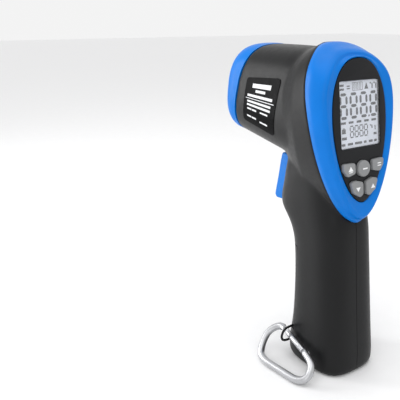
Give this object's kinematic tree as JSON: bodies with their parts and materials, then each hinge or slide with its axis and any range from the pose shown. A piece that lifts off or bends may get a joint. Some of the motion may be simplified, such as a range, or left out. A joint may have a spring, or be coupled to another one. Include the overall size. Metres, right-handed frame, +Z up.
{
  "type": "infrared thermometer",
  "caption": "Pistol-type infrared thermometer: two-shell housing with slanted barrel, oval backlit display and keypad, finger trigger, battery door in the grip and a wire carabiner at the toe.",
  "frame": {"origin": "centre of the flat foot of the handle, on the plane that the instrument stands on", "axes": "+X to the user's right, +Y out of the nose, +Z up; the display faces -Y"},
  "size_m": [0.0746, 0.112, 0.2046],
  "materials": {
    "shell": "fine satin texture, charcoal",
    "blue": "satin gloss, saturated blue",
    "panel": "satin charcoal",
    "window": "clear window",
    "lcd": "grey-white liquid crystal",
    "white_plastic": "white diffuser",
    "key_rubber": "matt grey silicone",
    "board": "green solder mask",
    "black_plastic": "black moulding",
    "steel": "plated steel",
    "spring_steel": "spring wire",
    "brass": "turned brass",
    "battery": "printed metal jacket",
    "lens": "coated infrared lens",
    "label": "black printed film",
    "aluminium": "satin aluminium"
  },
  "bodies": {
    "housing": {"left_shell": "shell", "right_shell": "shell", "nose_ring": "blue", "rear_bezel": "blue", "display_panel": "panel", "lcd_window": "window", "lcd_module": "lcd", "lcd_backlight": "white_plastic", "keypad_mat": "key_rubber", "main_board": "board", "buzzer": "black_plastic", "trigger_pin": "steel", "trigger_spring": "spring_steel", "trigger_switch": "black_plastic", "door_pin": "steel", "battery": "battery", "battery_snap": "black_plastic", "nose_plate": "black_plastic", "lens": "lens", "lens_retainer": "black_plastic", "optical_tube": "black_plastic", "thermopile": "steel", "sensor_board": "board", "laser_upper": "brass", "laser_lower": "brass", "laser_bracket": "black_plastic", "side_label": "label", "lanyard_eye": "shell", "case_screw_1": "steel", "case_screw_2": "steel", "case_screw_3": "steel", "case_screw_4": "steel", "case_screw_5": "steel", "board_screw_1": "steel", "board_screw_2": "steel", "board_screw_3": "steel"},
    "trigger": {"trigger": "blue"},
    "plunger": {"switch_plunger": "white_plastic"},
    "battery_door": {"battery_door": "shell"},
    "carabiner": {"carabiner_body": "aluminium", "gate_pin": "steel"},
    "gate": {"carabiner_gate": "aluminium"},
    "key_measure": {"key_measure": "key_rubber"},
    "key_up_left": {"key_up_left": "key_rubber"},
    "key_up_right": {"key_up_right": "key_rubber"},
    "key_low_left": {"key_low_left": "key_rubber"},
    "key_low_right": {"key_low_right": "key_rubber"}
  },
  "joints": [
    {"name": "trigger_pull", "type": "hinge", "parent": "housing", "child": "trigger", "pos_m": [0, 0.031, 0.1282], "axis": [-1, 0, 0], "range_deg": [0, 8], "stiffness_Nm_per_rad": 0.2, "springref_deg": -14.32, "deforming": ["trigger_spring"]},
    {"name": "plunger_press", "type": "slide", "parent": "housing", "child": "plunger", "axis": [0, -1, 0], "range_m": [0, 0.0013]},
    {"name": "key_measure_press", "type": "slide", "parent": "housing", "child": "key_measure", "axis": [0, 0.9932, -0.1167], "range_m": [0, 0.001], "stiffness_N_per_m": 60, "springref_m": -0.002},
    {"name": "key_up_left_press", "type": "slide", "parent": "housing", "child": "key_up_left", "axis": [0, 0.9932, -0.1167], "range_m": [0, 0.001], "stiffness_N_per_m": 60, "springref_m": -0.002},
    {"name": "key_up_right_press", "type": "slide", "parent": "housing", "child": "key_up_right", "axis": [0, 0.9932, -0.1167], "range_m": [0, 0.001], "stiffness_N_per_m": 60, "springref_m": -0.002},
    {"name": "key_low_left_press", "type": "slide", "parent": "housing", "child": "key_low_left", "axis": [0, 0.9932, -0.1167], "range_m": [0, 0.001], "stiffness_N_per_m": 60, "springref_m": -0.002},
    {"name": "key_low_right_press", "type": "slide", "parent": "housing", "child": "key_low_right", "axis": [0, 0.9932, -0.1167], "range_m": [0, 0.001], "stiffness_N_per_m": 60, "springref_m": -0.002},
    {"name": "battery_door_open", "type": "hinge", "parent": "housing", "child": "battery_door", "pos_m": [0, 0.0232, 0.017], "axis": [-1, 0, 0], "range_deg": [0, 75]},
    {"name": "carabiner_swing", "type": "hinge", "parent": "housing", "child": "carabiner", "pos_m": [-0.02361, 0.01853, 0.01805], "axis": [0.124, 0.975, 0.1845], "range_deg": [0, 110]},
    {"name": "gate_open", "type": "hinge", "parent": "carabiner", "child": "gate", "pos_m": [-0.02361, 0.01853, 0.01805], "axis": [0.6396, 0.0636, -0.766], "range_deg": [0, 25], "stiffness_Nm_per_rad": 0.02, "springref_deg": -11.46}
  ],
  "couplings": [
    {"joint": "plunger_press", "follows": "trigger_pull", "m_per_rad": 0.0077}
  ]
}
